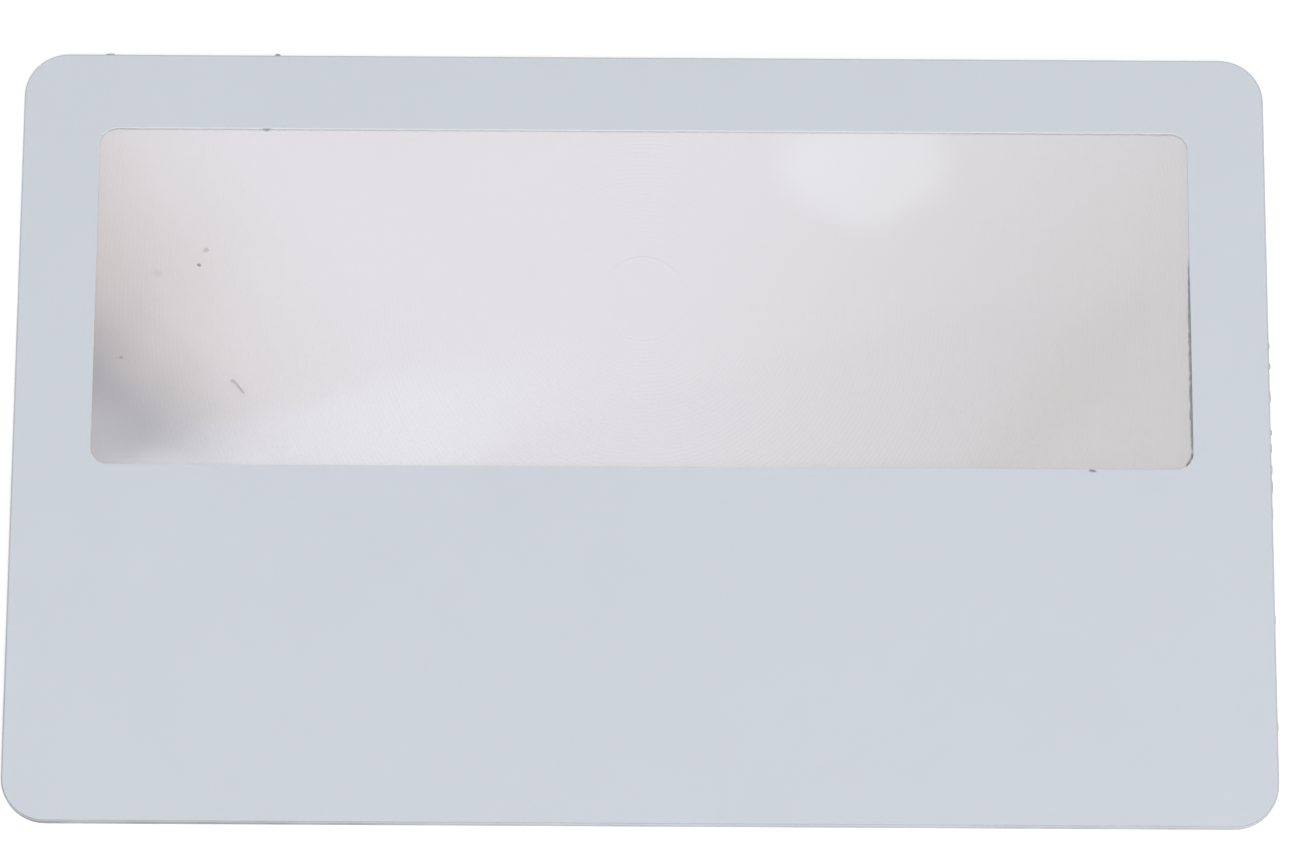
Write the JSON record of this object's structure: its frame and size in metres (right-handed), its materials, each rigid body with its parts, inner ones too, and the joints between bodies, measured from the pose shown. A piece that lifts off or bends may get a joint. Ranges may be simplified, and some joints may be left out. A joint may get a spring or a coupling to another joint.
{
  "type": "card magnifier",
  "caption": "Flat card-sized pocket magnifier: a wide ring-grooved sheet lens held in a window of a thin white plastic card with rounded corners.",
  "frame": {"origin": "under the middle of the card, on its back face", "axes": "+Z out of the front face towards the reader, +X along the long side, +Y across the card towards the side with the window"},
  "size_m": [0.0856, 0.054, 0.0008],
  "materials": {
    "white_sheet": "satin white rigid PVC, a little blue",
    "overlay_film": "clear PVC film with a fine satin press",
    "bond_film": "clear adhesive film",
    "clear_sheet": "clear rigid PVC, polished, with ring grooves behind"
  },
  "bodies": {
    "root": {"rear_overlay_film": "overlay_film", "rear_frame": "white_sheet", "rear_bond_film": "bond_film", "spacer_frame": "white_sheet", "fresnel_lens": "clear_sheet", "front_bond_film": "bond_film", "front_frame": "white_sheet", "front_overlay_film": "overlay_film"}
  },
  "joints": []
}
